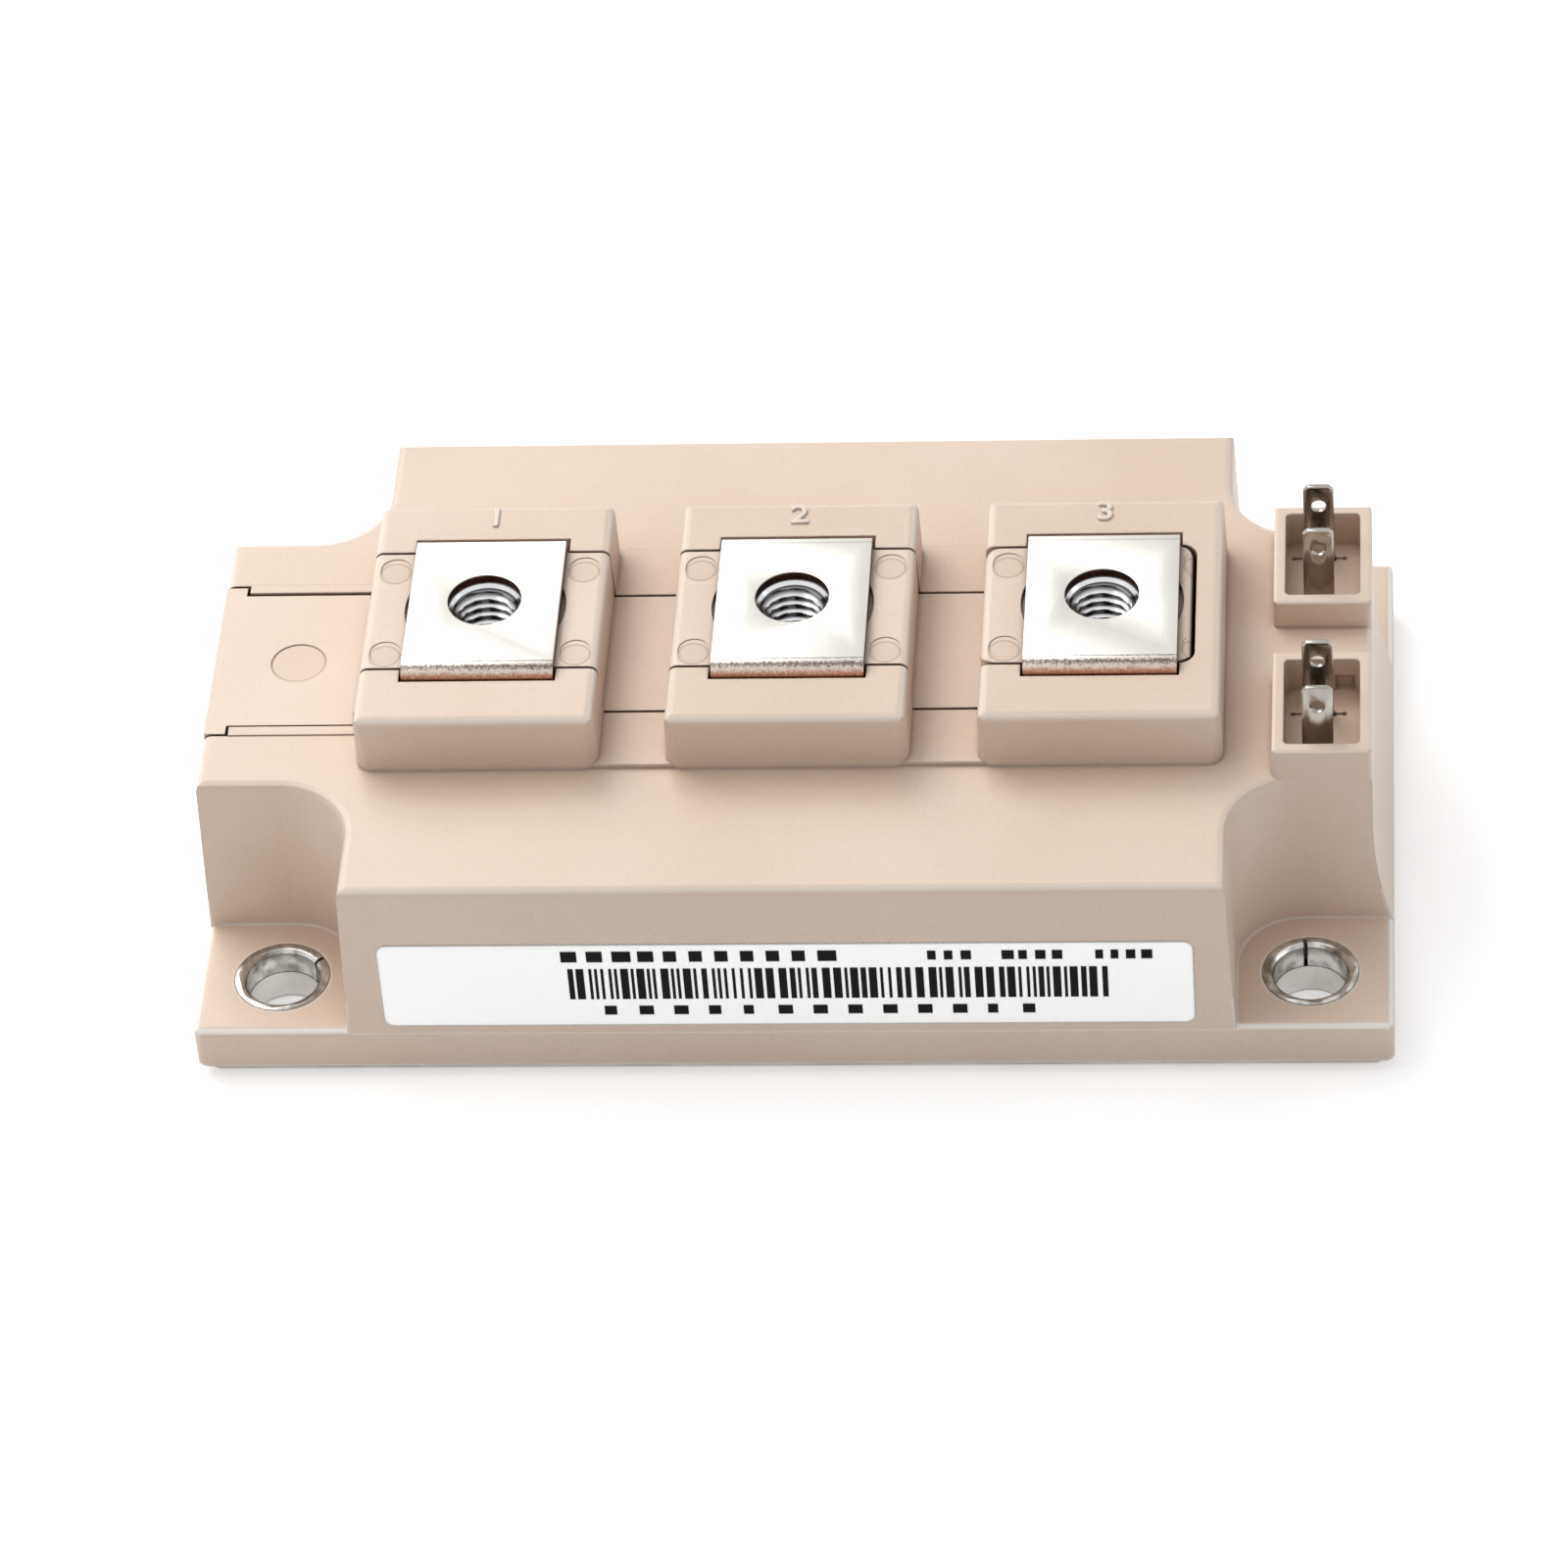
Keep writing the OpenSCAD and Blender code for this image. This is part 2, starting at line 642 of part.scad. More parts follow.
// One arched wire across the module, from a chip at y0 to a copper strip at y1,
// with a flattened stitch at each end
module bond_wire(x, y0, y1) {
    span = abs(y1 - y0);
    translate([x, (y0 + y1) / 2, wire_z + stitch_t / 2]) rotate([90, 0, 90])
        rotate_extrude(angle = 180, $fn = 32) translate([span / 2, 0]) circle(d = wire_d, $fn = 12);
    translate([x - stitch_w / 2, y0 - stitch_l / 2, wire_z]) cube([stitch_w, stitch_l, stitch_t]);
    translate([x - stitch_w / 2, y1 - stitch_l / 2, chip_z]) cube([stitch_w, stitch_l, chip_t + stitch_t]);
}

// Clearance in the gel for one wire
module wire_room(x, y0, y1) {
    r = abs(y1 - y0) / 2;
    room = stitch_w / 2 + 0.05;
    translate([x, (y0 + y1) / 2, chip_z]) intersection() {
        translate([0, 0, wire_z - chip_z]) along_x(2 * room) difference() {
            circle(r + room);
            circle(r - room);
        }
        translate([-room, -r - 2, 0]) cube([2 * room, 2 * r + 4, r + 2]);
    }
    for (y = [y0, y1]) translate([x - room, y - stitch_l / 2, chip_z])
        cube([2 * room, stitch_l, chip_t + 2 * stitch_t]);
}

// Ends of every wire on one substrate: place along the module, chip end, strip end
function wire_ends(s) = [
    for (cx = chip_xs) each concat(
        [for (k = [-1.5:1:1.5]) [s * dcb_x + cx + k * igbt_s / 5, igbt_y + 3, strip_y]],
        [for (k = [-1:1]) [s * dcb_x + cx + k * diode_s / 4, diode_y - 1, anode_y]])
];

module bond_wires(s) {
    color("#e4e4e2") for (w = wire_ends(s)) bond_wire(w[0], w[1], w[2]);
}

module power_stage() {
    for (s = [-1, 1]) {
        back_copper(s);
        ceramic(s);
        copper_tracks(s);
        for (w = wire_ends(s)) wire_room(w[0], w[1], w[2]);
    }
    for (i = [1:4]) {
        igbt_chip(i);
        diode_chip(i);
    }
}

// Soft gel that covers the power stage, around the straps' feet and the tabs
module silicone_gel() {
    g = 0.05;
    color("#dfe6e4", 0.6) difference() {
        translate([0, 0, plate_t]) union() {
            translate([-block_l / 2 + wall + g, -top_half_w + wall + g, 0])
                cube([block_l - 2 * wall - 2 * g, 2 * (top_half_w - wall - g), gel_h - plate_t]);
            translate([-half_l + draft + wall + g, -end_w / 2 + wall + g, 0])
                cube([right_end + half_l - draft - 2 * wall - 2 * g, end_w - 2 * wall - 2 * g, gel_h - plate_t]);
        }
        power_stage();
        for (i = [1:3]) terminal(i);
        for (i = [1:4]) control_tab(i);
    }
}

// ---- Label ----

module label_film() {
    lean = atan((half_w - top_half_w) / (shoulder_h - plate_proud));
    y = half_w - (label_z - plate_proud) * tan(lean);
    color("#f7f6f1") translate([0, -y, label_z]) rotate([90 - lean, 0, 0])
        linear_extrude(label_t) round_rect(-label_l / 2, 0, label_l / 2, label_h, 1);
}

base_plate();
housing();
nut_bar();
label_film();
collar(1);  // collar_1
collar(2);  // collar_2
collar(3);  // collar_3
collar(4);  // collar_4
terminal(1);  // terminal_1
terminal(2);  // terminal_2
terminal(3);  // terminal_3
nut(-1);  // nut_1
nut(0);  // nut_2
nut(1);  // nut_3
control_tab(1);  // control_tab_1
control_tab(2);  // control_tab_2
control_tab(3);  // control_tab_3
control_tab(4);  // control_tab_4
ceramic(-1);  // ceramic_left
ceramic(1);  // ceramic_right
back_copper(-1);  // back_copper_left
back_copper(1);  // back_copper_right
copper_tracks(-1);  // copper_tracks_left
copper_tracks(1);  // copper_tracks_right
igbt_chip(1);  // igbt_chip_1
igbt_chip(2);  // igbt_chip_2
igbt_chip(3);  // igbt_chip_3
igbt_chip(4);  // igbt_chip_4
diode_chip(1);  // diode_chip_1
diode_chip(2);  // diode_chip_2
diode_chip(3);  // diode_chip_3
diode_chip(4);  // diode_chip_4
bond_wires(-1);  // bond_wires_left
bond_wires(1);  // bond_wires_right
silicone_gel();
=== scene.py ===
import math
import random

import bmesh
import bpy
from mathutils import Matrix, Vector


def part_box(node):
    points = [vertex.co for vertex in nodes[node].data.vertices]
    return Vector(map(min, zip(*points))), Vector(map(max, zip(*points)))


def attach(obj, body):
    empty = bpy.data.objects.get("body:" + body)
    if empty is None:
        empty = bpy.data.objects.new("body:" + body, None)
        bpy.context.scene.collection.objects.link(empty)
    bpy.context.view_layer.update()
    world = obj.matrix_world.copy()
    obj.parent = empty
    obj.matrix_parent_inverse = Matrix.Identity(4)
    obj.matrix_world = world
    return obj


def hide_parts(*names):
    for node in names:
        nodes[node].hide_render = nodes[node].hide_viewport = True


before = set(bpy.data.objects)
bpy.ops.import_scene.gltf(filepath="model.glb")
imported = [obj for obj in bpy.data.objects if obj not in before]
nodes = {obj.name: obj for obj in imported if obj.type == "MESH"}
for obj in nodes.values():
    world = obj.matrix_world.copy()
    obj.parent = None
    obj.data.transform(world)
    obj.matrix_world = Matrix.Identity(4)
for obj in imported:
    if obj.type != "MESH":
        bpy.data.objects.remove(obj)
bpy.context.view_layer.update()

# ---------------------------------------------------------------------------
# Base plate. A flat plate of nickel-plated copper with four clear holes, which
# carries the ceramics and takes the heat away. The housing is glued over it.
# ---------------------------------------------------------------------------


def chart(r, g, b):
    """A colour read off a paint chart, 0 to 255, as the linear colour that a finish takes."""
    def linear(c):
        c /= 255.0
        return c / 12.92 if c <= 0.04045 else ((c + 0.055) / 1.055) ** 2.4
    return (linear(r), linear(g), linear(b), 1.0)


def new_finish(name):
    finish = bpy.data.materials.new(name)
    finish.use_nodes = True
    tree = finish.node_tree
    return finish, tree, tree.nodes["Principled BSDF"]


def put(tree, kind, **settings):
    """Adds one shader node; settings name its sockets or its own properties."""
    n = tree.nodes.new(kind)
    for key, value in settings.items():
        if key in n.inputs:
            n.inputs[key].default_value = value
        else:
            setattr(n, key, value)
    return n


def sums(tree, operation, *values):
    """One arithmetic step on sockets or plain numbers."""
    n = put(tree, "ShaderNodeMath", operation=operation)
    for socket, value in zip(n.inputs, values):
        if isinstance(value, (int, float)):
            socket.default_value = value
        else:
            tree.links.new(value, socket)
    return n.outputs[0]


def mottle(tree, place, scale, detail=2.0):
    """Soft random variation over the surface, scale in cells per metre."""
    n = put(tree, "ShaderNodeTexNoise", Scale=scale, Detail=detail)
    tree.links.new(place, n.inputs["Vector"])
    return n.outputs["Fac"]


def shades(tree, source, stops):
    """Turns a value into shades, blended between the stops."""
    r = tree.nodes.new("ShaderNodeValToRGB")
    elements = r.color_ramp.elements
    while len(elements) < len(stops):
        elements.new(0.5)
    for element, (at, colour) in zip(elements, stops):
        element.position = at
        element.color = colour if isinstance(colour, tuple) else (colour, colour, colour, 1.0)
    tree.links.new(source, r.inputs["Fac"])
    return r.outputs["Color"]


def blend(tree, kind, under, over, amount=1.0):
    """Lays one colour over another; amount is a number or a socket."""
    m = put(tree, "ShaderNodeMix", data_type="RGBA", blend_type=kind)
    for socket, value in ((m.inputs[0], amount), (m.inputs[6], under), (m.inputs[7], over)):
        if isinstance(value, (int, float, tuple)):
            socket.default_value = value
        else:
            tree.links.new(value, socket)
    return m.outputs[2]


def surface(tree, shader, layers, edge=0.0):
    """Relief on the surface, each layer a height and its depth in metres, over softly broken edges."""
    last = None
    if edge:
        last = put(tree, "ShaderNodeBevel", Radius=edge)
        last.samples = 4
    for height, depth in layers:
        b = put(tree, "ShaderNodeBump", Strength=1.0, Distance=depth)
        tree.links.new(height, b.inputs["Height"])
        if last is not None:
            tree.links.new(last.outputs["Normal"], b.inputs["Normal"])
        last = b
    tree.links.new(last.outputs["Normal"], shader.inputs["Normal"])


def plated_metal(name, bright, dull, gloss=(0.22, 0.34), grain=(1, 1, 1), relief=0.0000015,
                 joint_shade_reach=0.0, shade_to_lit=(0.20, 0.55), cloud=220.0):
    """Plated or drawn metal: cloudy tint, rolling lines along one way, and painted shade that darkens its
    joints.

    joint_shade_reach is how far the painted shade reaches out of a joint, and cloud is in cells per metre.
    """
    finish, tree, shader = new_finish(name)
    shader.inputs["Metallic"].default_value = 1.0
    place = tree.nodes.new("ShaderNodeTexCoord").outputs["Object"]
    stretch = put(tree, "ShaderNodeMapping", Scale=grain)
    tree.links.new(place, stretch.inputs["Vector"])
    lines = mottle(tree, stretch.outputs["Vector"], 900.0, 3.0)
    tint = shades(tree, mottle(tree, place, cloud, 3.0), [(0.35, dull), (0.60, bright)])
    # painted shade: the colour darkens where ambient occlusion finds a narrow joint
    if joint_shade_reach:
        joint = put(tree, "ShaderNodeAmbientOcclusion", Distance=joint_shade_reach)
        joint.samples = 6
        dark, unshaded = shade_to_lit
        joint_shade = shades(tree, joint.outputs["AO"], [(dark, 0.06), (unshaded, 1.0)])
        tint = blend(tree, "MULTIPLY", tint, joint_shade)
    tree.links.new(tint, shader.inputs["Base Color"])
    tree.links.new(shades(tree, lines, [(0.3, gloss[0]), (0.7, gloss[1])]), shader.inputs["Roughness"])
    surface(tree, shader, [(lines, relief)])
    return finish


def cover(piece, finish):
    """Gives a piece one finish all over."""
    piece.data.materials.clear()
    piece.data.materials.append(finish)


# painted shade darkens the joint where the plate meets the housing
plate_nickel = plated_metal("nickel plated plate", chart(222, 220, 216), chart(205, 202, 196),
                            (0.28, 0.42), (1, 14, 1), joint_shade_reach=0.0005, shade_to_lit=(0.46, 0.84))
cover(nodes["base_plate"], plate_nickel)

# ---------------------------------------------------------------------------
# Power stage. Ceramic plates clad with copper, silicon chips soldered on them,
# aluminium bond wires, and a clear silicone gel poured over the whole.
# ---------------------------------------------------------------------------

bare_copper = plated_metal("bare copper", chart(214, 150, 112), chart(190, 122, 88), (0.30, 0.42))
chip_silicon = plated_metal("metallised silicon", chart(150, 156, 165), chart(130, 136, 146), (0.12, 0.2))
drawn_aluminium = plated_metal("drawn aluminium", chart(225, 225, 223), chart(205, 205, 202), (0.2, 0.3))

alumina, tree, shader = new_finish("alumina")
place = tree.nodes.new("ShaderNodeTexCoord").outputs["Object"]
sinter = mottle(tree, place, 3000.0, 3.0)
tint = shades(tree, sinter, [(0.3, chart(232, 231, 226)), (0.7, chart(244, 243, 239))])
tree.links.new(tint, shader.inputs["Base Color"])
tree.links.new(shades(tree, sinter, [(0.3, 0.5), (0.7, 0.65)]), shader.inputs["Roughness"])
surface(tree, shader, [(sinter, 0.000003)])

gel, tree, shader = new_finish("silicone gel")
place = tree.nodes.new("ShaderNodeTexCoord").outputs["Object"]
swirl = mottle(tree, place, 120.0)
tint = shades(tree, swirl, [(0.3, chart(226, 232, 230)), (0.7, chart(238, 242, 240))])
tree.links.new(tint, shader.inputs["Base Color"])
tree.links.new(shades(tree, swirl, [(0.3, 0.05), (0.7, 0.10)]), shader.inputs["Roughness"])
shader.inputs["Transmission Weight"].default_value = 0.8

for name, piece in nodes.items():
    if name.startswith("ceramic"):
        cover(piece, alumina)
    elif "copper" in name:
        cover(piece, bare_copper)
    elif "chip" in name:
        cover(piece, chip_silicon)
    elif name.startswith("bond"):
        cover(piece, drawn_aluminium)
    elif name == "silicone_gel":
        cover(piece, gel)

# ---------------------------------------------------------------------------
# Housing. One thick moulding of glass-filled resin in a pale peach beige, open
# beneath, from a tool with a fine matt grain. The three towers, the two tab
# sockets and the four ears are part of it.
# ---------------------------------------------------------------------------


def edge_turn(tree, radius):
    """How far the surface would turn if its edges were rounded: one on the flats, less beside an edge."""
    rounded = put(tree, "ShaderNodeBevel", Radius=radius)
    rounded.samples = 4
    facing = tree.nodes.new("ShaderNodeNewGeometry")
    turn = put(tree, "ShaderNodeVectorMath", operation="DOT_PRODUCT")
    tree.links.new(rounded.outputs["Normal"], turn.inputs[0])
    tree.links.new(facing.outputs["Normal"], turn.inputs[1])
    return turn.outputs["Value"], facing.outputs["Normal"]


def moulded_resin(name, base, deep, pale, grain=0.00001, edge=0.0, edge_highlight=0.42, marks=False):
    """Matt moulded plastic with fibre specks, painted shade in its joints and hollows, painted highlights
    along its edges and slopes, and softly broken edges.
    """
    finish, tree, shader = new_finish(name)
    place = tree.nodes.new("ShaderNodeTexCoord").outputs["Object"]
    cloud = mottle(tree, place, 45.0, 3.0)
    tint = shades(tree, cloud, [(0.30, deep), (0.52, base), (0.74, pale)])
    fibre = shades(tree, mottle(tree, place, 2600.0, 1.0), [(0.30, (0.93, 0.92, 0.91, 1)), (0.50, 1.0)])
    tint = blend(tree, "MULTIPLY", tint, fibre, 0.5)
    axes = tree.nodes.new("ShaderNodeSeparateXYZ")
    tree.links.new(place, axes.inputs[0])
    ears_end, sockets_begin, socket_floor, floor_reach = 0.009, 0.0440, 0.0214, 0.0008
    ears = sums(tree, "LESS_THAN", axes.outputs["Z"], ears_end)
    over_floor = sums(tree, "ABSOLUTE", sums(tree, "SUBTRACT", axes.outputs["Z"], socket_floor))
    pits = sums(tree, "MULTIPLY", sums(tree, "GREATER_THAN", axes.outputs["X"], sockets_begin),
                sums(tree, "LESS_THAN", over_floor, floor_reach))
    # painted shade darkens the narrow joints between mouldings, less on the ears and in the sockets
    joint = put(tree, "ShaderNodeAmbientOcclusion", Distance=0.0011)
    joint.samples = 5
    seam_shade = shades(tree, joint.outputs["AO"],
                  [(0.26, (0.06, 0.045, 0.036, 1)), (0.46, (0.46, 0.37, 0.33, 1)), (0.60, 1.0)])
    off_ears = sums(tree, "SUBTRACT", 1.0, sums(tree, "MULTIPLY", ears, 0.75))
    seam_shade_amount = sums(tree, "SUBTRACT", off_ears, sums(tree, "MULTIPLY", pits, 0.55))
    tint = blend(tree, "MULTIPLY", tint, seam_shade, seam_shade_amount)
    deep_shade = put(tree, "ShaderNodeAmbientOcclusion", Distance=0.009)
    deep_shade.samples = 3
    shade = shades(tree, deep_shade.outputs["AO"], [(0.25, (0.74, 0.67, 0.63, 1)), (0.68, 1.0)])
    tint = blend(tree, "MULTIPLY", tint, shade)
    # painted highlight: the rounded edges, the corners at the foot of the walls and the faces sloping
    # between top and front are made paler, most on the ears
    turn, facing = edge_turn(tree, 0.00050)
    highlit_edges = sums(tree, "MULTIPLY", shades(tree, turn, [(0.90, 1.0), (0.985, 0.0)]),
                sums(tree, "MULTIPLY_ADD", ears, 0.8, 0.2))
    slope = tree.nodes.new("ShaderNodeSeparateXYZ")
    tree.links.new(facing, slope.inputs[0])
    highlit_slopes = shades(tree, slope.outputs["Z"], [(0.40, 0.0), (0.60, 1.0), (0.86, 1.0), (0.95, 0.0)])
    highlight_strength = sums(tree, "MULTIPLY_ADD", ears, 0.55, edge_highlight)
    painted_highlight = sums(tree, "MULTIPLY", sums(tree, "MAXIMUM", highlit_edges, highlit_slopes), highlight_strength)
    tint = blend(tree, "SCREEN", tint, (0.80, 0.75, 0.70, 1), painted_highlight)
    if marks:
        tint = blend(tree, "MULTIPLY", tint, ejector_marks(tree, place))
    tree.links.new(tint, shader.inputs["Base Color"])
    tree.links.new(shades(tree, cloud, [(0.3, 0.34), (0.7, 0.42)]), shader.inputs["Roughness"])
    fine = mottle(tree, place, 5200.0)
    broad = mottle(tree, place, 160.0)
    surface(tree, shader, [(broad, grain * 4), (fine, grain)], edge)
    return finish


housing_resin = moulded_resin("housing resin", chart(224, 204, 187), chart(220, 199, 181),
                              chart(228, 209, 193), edge=0.00030)
cover(nodes["housing"], housing_resin)

# ---------------------------------------------------------------------------
# Terminal numbers. Plain numerals 1, 2 and 3 moulded with the housing behind
# each strap, standing up a fifth of a millimetre with rounded edges.
# ---------------------------------------------------------------------------

tower_top = 0.0283
terminal_pitch = 0.028
numeral_row = 0.0127
for number, x in ((1, -terminal_pitch), (2, 0.0), (3, terminal_pitch)):
    raised = bpy.data.curves.new(f"numeral_{number}", "FONT")
    raised.body = str(number)
    raised.size = 0.0034
    raised.align_x = "CENTER"
    raised.align_y = "CENTER"
    raised.extrude = 0.00012
    raised.bevel_depth = 0.00006
    raised.bevel_resolution = 2
    numeral = bpy.data.objects.new(f"numeral_{number}", raised)
    bpy.context.scene.collection.objects.link(numeral)
    numeral.location = (x, numeral_row, tower_top + 0.00005)
    numeral.data.materials.append(housing_resin)
    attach(numeral, "root")

# ---------------------------------------------------------------------------
# Collars. Steel strip rolled into rings and pressed into the ears, so that the
# fixing screws bear on metal and don't crush the resin.
# ---------------------------------------------------------------------------


def broken_edges(node, width, rings=2):
    """A copy of a part with its sharp edges broken by a small rounding."""
    mesh = nodes[node].data.copy()
    piece = bpy.data.objects.new(node + "_shown", mesh)
    bpy.context.scene.collection.objects.link(piece)
    bm = bmesh.new()
    bm.from_mesh(mesh)
    bmesh.ops.remove_doubles(bm, verts=bm.verts, dist=1e-6)
    bmesh.ops.dissolve_limit(bm, angle_limit=math.radians(0.6), verts=bm.verts, edges=bm.edges)
    bm.to_mesh(mesh)
    bm.free()
    rounding = piece.modifiers.new("edges", "BEVEL")
    rounding.width = width
    rounding.segments = rings
    rounding.limit_method = "ANGLE"
    rounding.angle_limit = math.radians(28)
    rounding.use_clamp_overlap = True
    bpy.context.view_layer.objects.active = piece
    with bpy.context.temp_override(object=piece, active_object=piece, selected_objects=[piece]):
        bpy.ops.object.modifier_apply(modifier="edges")
    for face in piece.data.polygons:
        face.use_smooth = True
    piece.data.set_sharp_from_angle(angle=math.radians(30))
    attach(piece, "root")
    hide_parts(node)
    return piece


# painted shade darkens the collars in their joints
collar_steel = plated_metal("rolled collar steel", chart(216, 215, 211), chart(142, 139, 133), (0.16, 0.30),
                            relief=0.000006, joint_shade_reach=0.0007, shade_to_lit=(0.30, 0.70), cloud=620.0)
for i in (1, 2, 3, 4):
    collar = broken_edges(f"collar_{i}", 0.00012)
    cover(collar, collar_steel)

# ---------------------------------------------------------------------------
# Control tabs. Blades of tinned brass strip, punched with a locking hole and
# chamfered at the tip for the push-on receptacles.
# ---------------------------------------------------------------------------

# painted shade darkens the tabs close to the walls around them
tab_tin = plated_metal("tinned tab", chart(184, 180, 174), chart(158, 153, 146), (0.12, 0.20), (1, 1, 8),
                       joint_shade_reach=0.0016)
for i in (1, 2, 3, 4):
    tab = broken_edges(f"control_tab_{i}", 0.00009)
    cover(tab, tab_tin)

# ---------------------------------------------------------------------------
# Captive nuts. Zinc-plated steel hexagons, 10 mm across the flats, tapped with
# a coarse 6 mm thread. They float a little in their pockets under the straps.
# ---------------------------------------------------------------------------

nut_zinc = plated_metal("zinc plated nut", chart(236, 237, 239), chart(214, 216, 219), (0.12, 0.20))
tree = nut_zinc.node_tree
shader = tree.nodes["Principled BSDF"]
bright_zinc = shader.inputs["Base Color"].links[0].from_socket
out = put(tree, "ShaderNodeVectorMath", operation="MULTIPLY")
out.inputs[1].default_value = (1, 1, 0)
tree.links.new(tree.nodes.new("ShaderNodeTexCoord").outputs["Object"], out.inputs[0])
reach = put(tree, "ShaderNodeVectorMath", operation="LENGTH")
tree.links.new(out.outputs["Vector"], reach.inputs[0])
# painted shade: the colour darkens in the roots of the thread
depth = sums(tree, "MULTIPLY", reach.outputs["Value"], 200.0)
thread_root_shade = shades(tree, depth, [(0.52, 1.0), (0.565, 0.35), (0.60, 0.05), (0.612, 1.0)])
tree.links.new(blend(tree, "MULTIPLY", bright_zinc, thread_root_shade), shader.inputs["Base Color"])


def tapped_nut(node):
    """The nut with a turned thread, its corners taken off both ends as the bar stock was faced."""
    low, high = (Vector(corner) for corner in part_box(node))
    middle = (low + high) / 2
    height = high.z - low.z
    half_flats = min(high.x - low.x, high.y - low.y) / 2
    thread_pitch, crest, root = 0.001, 0.0025, 0.00302
    steps, turns = 96, 60
    facing_cut = 0.00015

    def thread_radius(angle, z):
        phase = (z / thread_pitch - angle / math.tau) % 1.0
        flank = min(1.0, max(0.0, (abs(phase - 0.5) - 0.07) / 0.36))
        cut = root - (root - crest) * (1.0 - flank)
        lead_in = root + 0.0003 - min(z, height - z)
        return max(cut, lead_in)

    columns = []
    for k in range(steps):
        angle = math.tau * k / steps
        corner = half_flats / math.cos((angle % (math.pi / 3)) - math.pi / 6)
        drop = max(0.0, (corner - half_flats + facing_cut) / 1.03)
        rows = [(thread_radius(angle, height * j / turns), height * j / turns) for j in range(turns + 1)]
        rows += [(half_flats - facing_cut, height), (corner, height - drop), (corner, drop),
                 (half_flats - facing_cut, 0.0)]
        columns.append([(r * math.cos(angle), r * math.sin(angle), z) for r, z in rows])
    count = len(columns[0])
    points = [p for column in columns for p in column]
    faces = []
    for k in range(steps):
        a, b = k * count, (k + 1) % steps * count
        for j in range(count):
            n = (j + 1) % count
            faces.append((a + j, a + n, b + n, b + j))
    mesh = bpy.data.meshes.new(node + "_tapped")
    mesh.from_pydata(points, [], faces)
    bm = bmesh.new()
    bm.from_mesh(mesh)
    bmesh.ops.recalc_face_normals(bm, faces=bm.faces)
    bm.to_mesh(mesh)
    bm.free()
    for face in mesh.polygons:
        face.use_smooth = True
    mesh.set_sharp_from_angle(angle=math.radians(35))
    piece = bpy.data.objects.new(node + "_tapped", mesh)
    piece.location = (middle.x, middle.y, low.z)
    bpy.context.scene.collection.objects.link(piece)
    cover(piece, nut_zinc)
    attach(piece, "root")
    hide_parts(node)


for i in (1, 2, 3):
    tapped_nut(f"nut_{i}")

# ---------------------------------------------------------------------------
# Nut bar. A separate moulding in a slightly smoother, paler grade. It slides
# into the housing from the left end and holds the three nuts captive. The
# shallow rounds on it are left by the ejector pins of its tool.
# ---------------------------------------------------------------------------


def distance(tree, a, b):
    """Length of the slanted line over two offsets at right angles."""
    return sums(tree, "SQRT", sums(tree, "ADD", sums(tree, "MULTIPLY", a, a), sums(tree, "MULTIPLY", b, b)))


def ejector_marks(tree, place):
    """Darker rounds with a thin outline, four on each raised pad and a large one on the wide end."""
    axes = tree.nodes.new("ShaderNodeSeparateXYZ")
    tree.links.new(place, axes.inputs[0])
    x, y = axes.outputs["X"], axes.outputs["Y"]
    along = sums(tree, "ABSOLUTE", sums(tree, "WRAP", x, terminal_pitch / 2, -terminal_pitch / 2))
    off = sums(tree, "SUBTRACT", along, mark_from_middle)
    near = None
    for row in mark_rows:
        reach = distance(tree, off, sums(tree, "SUBTRACT", y, row))
        near = reach if near is None else sums(tree, "MINIMUM", near, reach)
    big = distance(tree, sums(tree, "ADD", x, big_mark[0]), sums(tree, "SUBTRACT", y, big_mark[1]))
    # the raised pads end before the wide part, which has only the large round
    near = sums(tree, "ADD", near, sums(tree, "LESS_THAN", x, pads_begin))
    near = sums(tree, "MINIMUM", near, sums(tree, "SUBTRACT", big, 0.0011))
    return shades(tree, sums(tree, "MULTIPLY", near, 500.0),
                  [(0.60, (0.94, 0.92, 0.91, 1)), (0.67, (0.70, 0.64, 0.60, 1)),
                   (0.72, (0.74, 0.68, 0.64, 1)), (0.77, 1.0)])


mark_from_middle = 0.00865
mark_rows = (-0.00585, 0.00535)
pads_begin = -0.040
big_mark = (0.0457, -0.00015)
bar_resin = moulded_resin("bar resin", chart(227, 208, 192), chart(223, 203, 186), chart(231, 213, 198),
                          grain=0.000006, edge=0.00016, edge_highlight=0.27, marks=True)
cover(nodes["nut_bar"], bar_resin)

# ---------------------------------------------------------------------------
# Main terminals. Copper strip 1 mm thick, punched, nickel plated and bent over
# the nuts. The flats are silvery; the outside of the bend and the punched
# edges are rubbed down to copper, painted dark brown with shade low on the bend
# and on the punched edges, and a dark band of painted reflection crosses the bend.
# ---------------------------------------------------------------------------

strap_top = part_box("terminal_2")[1][2]
strap_nickel, tree, shader = new_finish("nickel plated strap")
shader.inputs["Metallic"].default_value = 1.0
place = tree.nodes.new("ShaderNodeTexCoord").outputs["Object"]
axes = tree.nodes.new("ShaderNodeSeparateXYZ")
tree.links.new(place, axes.inputs[0])
facing = tree.nodes.new("ShaderNodeNewGeometry")
slope = tree.nodes.new("ShaderNodeSeparateXYZ")
tree.links.new(facing.outputs["True Normal"], slope.inputs[0])
rolled = put(tree, "ShaderNodeMapping", Scale=(10, 1, 1))
tree.links.new(place, rolled.inputs["Vector"])
rolling_lines = mottle(tree, rolled.outputs["Vector"], 500.0, 3.0)
speckle = mottle(tree, place, 4200.0, 2.0)
flat = shades(tree, mottle(tree, place, 150.0), [(0.35, chart(212, 210, 204)), (0.60, chart(219, 217, 211))])
